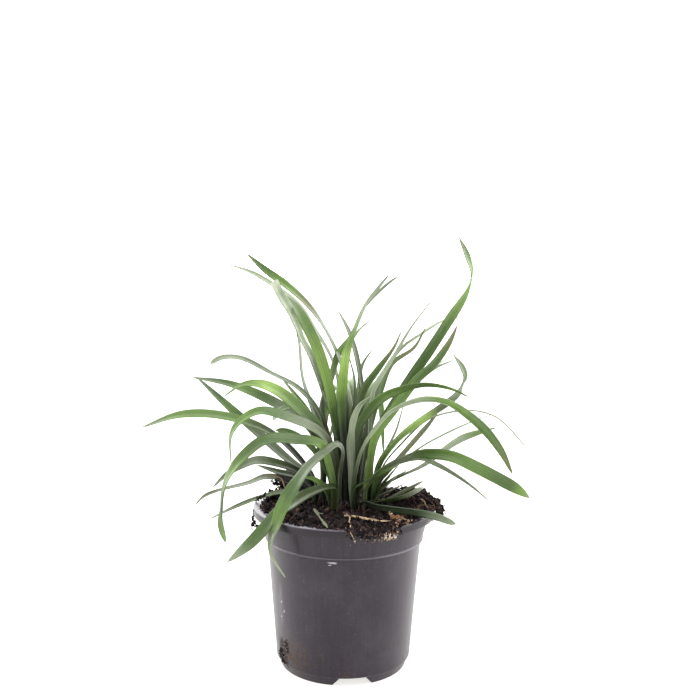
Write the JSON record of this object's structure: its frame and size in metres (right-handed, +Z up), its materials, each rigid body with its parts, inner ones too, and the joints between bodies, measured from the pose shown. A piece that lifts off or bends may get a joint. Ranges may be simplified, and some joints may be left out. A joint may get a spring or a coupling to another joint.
{
  "type": "potted liriope plant",
  "caption": "Clump of narrow, arching, grass-like evergreen leaves growing from potting soil in a round plastic nursery pot with a flat lip and a stepped collar.",
  "frame": {"origin": "middle of the bounding box in plan, on the surface that the pot stands on", "axes": "+Z up, +X to the right and +Y to the back, as seen from the front; the widest fan of leaves spreads along X"},
  "size_m": [0.2338, 0.1514, 0.248],
  "materials": {
    "pot": "semi-matte black polypropylene, slightly dusty",
    "soil": "rough dark crumbly potting mix",
    "straw": "dry tan plant fibre",
    "bark": "rough orange-brown bark",
    "litter": "faded dead leaf",
    "leaf": "satin green leaf with fine parallel veins"
  },
  "bodies": {
    "root": {"pot": "pot", "soil": "soil", "straw": "straw", "bark_chip_1": "bark", "bark_chip_2": "bark", "leaf_litter": "litter", "tuft_front_left": "leaf", "tuft_front_right": "leaf", "tuft_left": "leaf", "tuft_centre": "leaf", "tuft_right": "leaf", "tuft_back": "leaf"}
  },
  "joints": []
}
